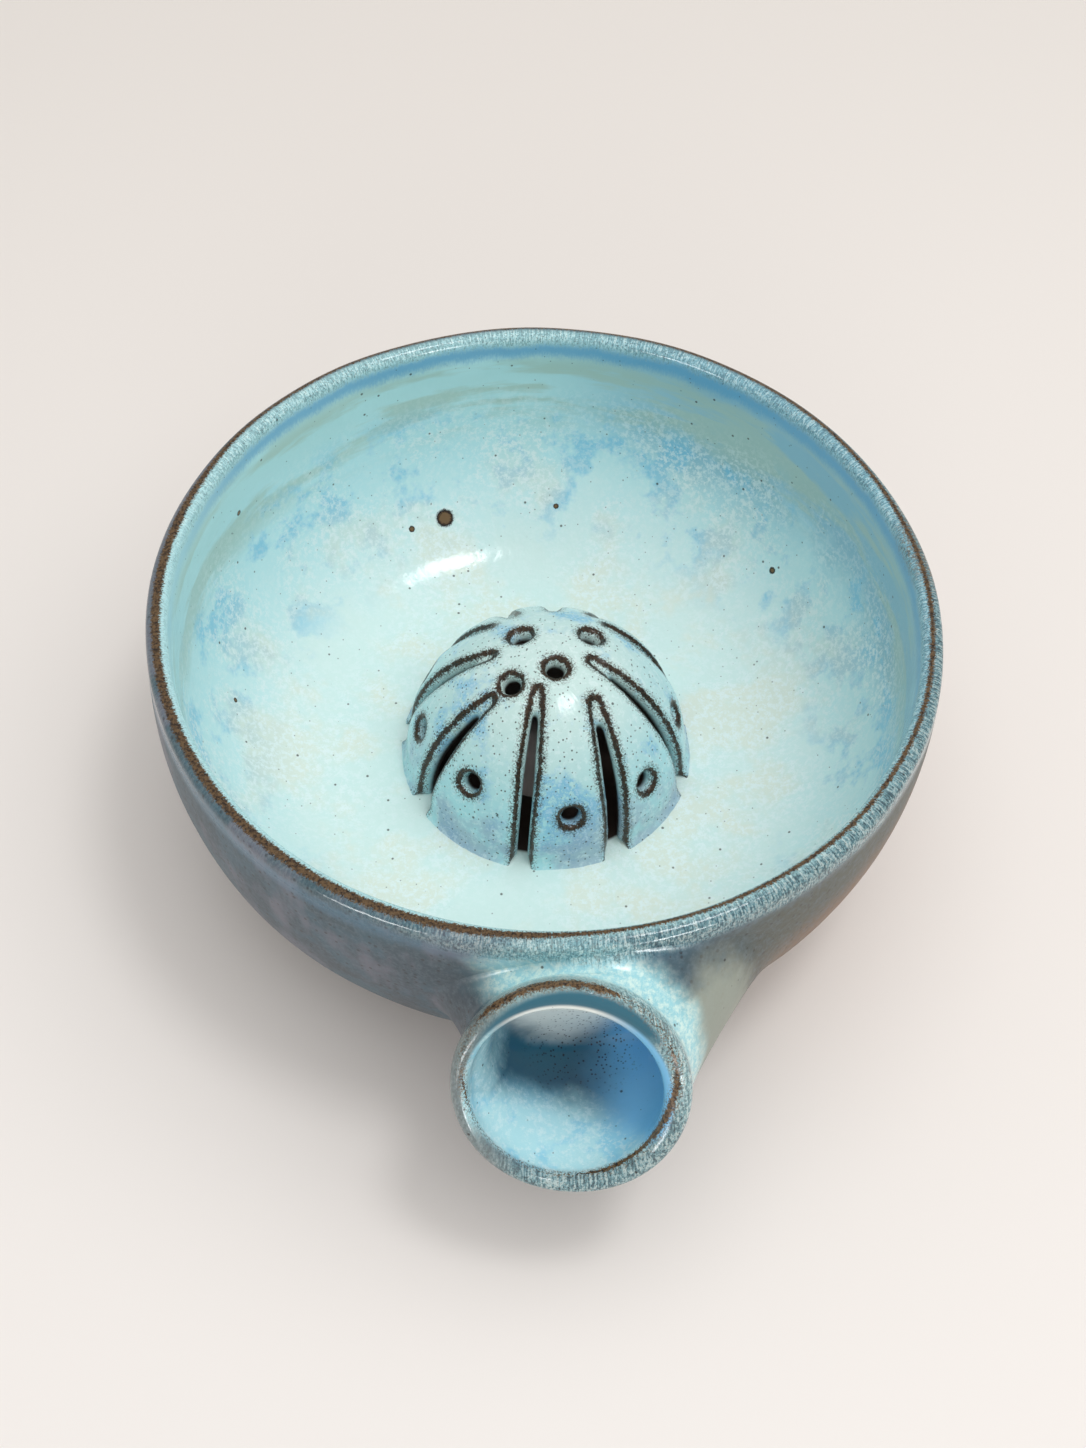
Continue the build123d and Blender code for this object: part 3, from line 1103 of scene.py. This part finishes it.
def bowl_glaze():
    """The bowl is bare clay, painted much darker than the foot as shade, under the dome, in the drain and on
    its underside.
    """
    fields = GlazeFields(Finish("bowl_glaze"))
    finish = fields.finish
    inner = finish.kept("inner")
    colour = finish.blend(inner.rise(0.3, 0.7), outside_colour(fields), inside_colour(fields))
    colour = rim_colour(fields, colour)
    # Painted shade: the bare clay here is painted near black, far darker than the foot's clay, because
    # little light reaches it
    shade_under_dome = fields.near((DOME_OFFSET, 0.0, FLOOR_TOP), (30.0, 30.0, 60.0)).rise(1.0, 0.97)
    underside = fields.z.rise(FLOOR_BOTTOM + 0.8, FLOOR_BOTTOM + 0.4)
    broken = rim_break(fields, finish.kept("lip_mm"))
    dull = inner.rise(0.5, 0.2) * fields.from_rim.rise(3.0, 8.0)
    return glaze_over(fields, colour, broken, 0.65, shade_under_dome.higher(underside), dull)


def handle_glaze():
    """Hairs on the lip to the right and below, teal painted shade under its top, brown at the top and lower
    right.
    """
    fields = GlazeFields(Finish("handle_glaze"))
    finish = fields.finish
    inner = finish.kept("inner")
    lip = finish.kept("lip_mm")
    across, up = fields.in_mouth()
    outer = rim_colour(fields, outside_colour(fields))
    on_lip = lip.rise(4.2, 3.0)
    outer = finish.blend(on_lip * 0.6, outer, LIP_GREY)
    # Painted shade: the inner face under the lip's top is painted teal, as if in shadow
    in_lip = oval_distance(across, up, (0.0, 0.0), (20.5, 20.5)).rise(1.02, 0.94)
    shade_under_top = in_lip * up.rise(6.0, 12.0)
    outer = finish.blend(shade_under_top, outer, SHADE_TEAL)
    haired = (across - up * 0.5).rise(-10.0, 4.0) * 0.45 + 0.15
    outer = hairs_over(fields, outer, on_lip * (1.0 - shade_under_top) * haired)
    low = up.rise(-4.0, -12.0)
    in_ring = oval_distance(across, up, (0.0, 0.0), (19.5, 17.6)).rise(1.05, 0.98)
    in_cup = inner.rise(0.6, 0.85) * (1.0 - low * (1.0 - in_ring))
    colour = finish.blend(in_cup, outer, cup_colour(fields))
    top = up.rise(12.0, 17.0) * across.rise(12.0, 4.0)
    lower_right = (across * 0.8 - up * 0.5).rise(8.0, 15.0)
    half_width = 0.3 + top * 1.3 + lower_right * (0.2 + fields.patches)
    broken = edge_break(fields, finish.kept("edge_mm"), half_width, 2.4)
    dull = fields.from_mouth.rise(6.0, 14.0) * inner.rise(0.5, 0.2) * fields.from_rim.rise(3.0, 8.0)
    return glaze_over(fields, colour, broken, 0.9, dull=dull)


def dome_glaze():
    fields = GlazeFields(Finish("dome_glaze"))
    finish = fields.finish
    broken = edge_break(fields, finish.kept("edge_mm"), 0.95, 2.4)
    # Painted shade: the dome's inside and deeper slot walls get the near black clay
    return glaze_over(fields, dome_colour(fields), broken, 0.2, finish.kept("inner"))


def bare_clay():
    finish = Finish("bare_clay")
    place = finish.place()
    cloud = finish.noise(place, 9.0)
    grit = finish.noise(place, 0.6, detail=4.0, roughness=0.7)
    colour = finish.blend(cloud.rise(0.35, 0.65), CLAY_BROWN, CLAY_TAN)
    speck = finish.spots(place, 2.6).rise(0.16, 0.08)
    colour = finish.blend(speck * 0.8, colour, IRON)
    colour = finish.blend(grit.rise(0.55, 0.7) * 0.4, colour, CLAY_GRIT)
    finish.surface(colour, 0.72 + grit * 0.2, finish.bump(grit, 0.5, 0.3))
    return finish.material


def dress(piece, material, slot, *nodes):
    """Gives a finished piece its material and body and hides the nodes it stands for; the record slot is not
    used.
    """
    piece.data.materials.clear()
    piece.data.materials.append(material)
    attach(piece, "root")
    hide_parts(*nodes)


def make_floor():
    bpy.ops.object.select_all(action="DESELECT")
    bpy.ops.mesh.primitive_plane_add(size=FLOOR_SIZE, location=(0, 0, 0))
    floor = bpy.context.object
    floor.name = "floor"
    finish = Finish("pale_floor")
    along = finish.axes(finish.place())[1]
    # Painted light: the floor is painted lighter near the camera and darker far away
    colour = finish.blend(along.rise(FAR_END, NEAR_END), FLOOR_FAR_SHADED, FLOOR_NEAR_LIT)
    finish.surface(colour, 0.9)
    floor.data.materials.append(finish.material)


def add_lamp(name, place, size, power, lights=True, mirrored=True):
    """Round panel aimed at the bowl; it may light the glaze, show in its gloss, or both."""
    lamp = bpy.data.lights.new(name, "AREA")
    lamp.shape = "DISK"
    lamp.size = size
    lamp.energy = power
    holder = bpy.data.objects.new(name, lamp)
    scene.collection.objects.link(holder)
    holder.location = place
    holder.rotation_euler = (LAMP_AIM - Vector(place)).to_track_quat("-Z", "Y").to_euler()
    holder.visible_diffuse = lights
    holder.visible_glossy = mirrored


def light_world():
    world = bpy.data.worlds.new("soft_room")
    scene.world = world
    world.use_nodes = True
    background = world.node_tree.nodes["Background"]
    background.inputs["Color"].default_value = ROOM_COLOUR
    background.inputs["Strength"].default_value = ROOM_STRENGTH


def add_camera():
    lens = bpy.data.cameras.new("photo_camera")
    lens.sensor_fit = "VERTICAL"
    lens.sensor_height = SENSOR_HEIGHT
    lens.lens = FOCAL_LENGTH
    camera = bpy.data.objects.new("photo_camera", lens)
    scene.collection.objects.link(camera)
    place = CAMERA_PLACE * MM
    roll = Quaternion((0, 0, 1), math.radians(CAMERA_ROLL))
    turn = (CAMERA_AIM * MM - place).to_track_quat("-Z", "Y") @ roll
    camera.location = place
    camera.rotation_euler = turn.to_euler()
    scene.camera = camera


bowl = make_bowl()
foot = make_foot()
dome = make_dome()
handle = make_handle(bowl)
add_wobble([bowl, dome, handle])
dress(bowl, bowl_glaze(), "glaze", "bowl_shell")
dress(dome, dome_glaze(), "glaze", "strainer_dome", "dome_coil")
dress(handle, handle_glaze(), "glaze", "handle_tube", "handle_coil")
dress(foot, bare_clay(), "bare_clay", "foot_ring")

make_floor()
light_world()
add_lamp("window_panel", (0.3, -0.05, 1.45), 2.2, 13.5, mirrored=False)
add_lamp("sky_panel", (0.375, -0.045, 1.455), 0.34, 3.5)
add_lamp("left_panel", (-0.85, -0.95, 0.06), 0.5, 8.0, lights=False)
add_lamp("right_panel", (0.5, -1.15, 0.05), 0.36, 6.0, lights=False)
add_lamp("front_fill", (-0.1, -1.2, 0.45), 0.6, 2.0, mirrored=False)
add_camera()
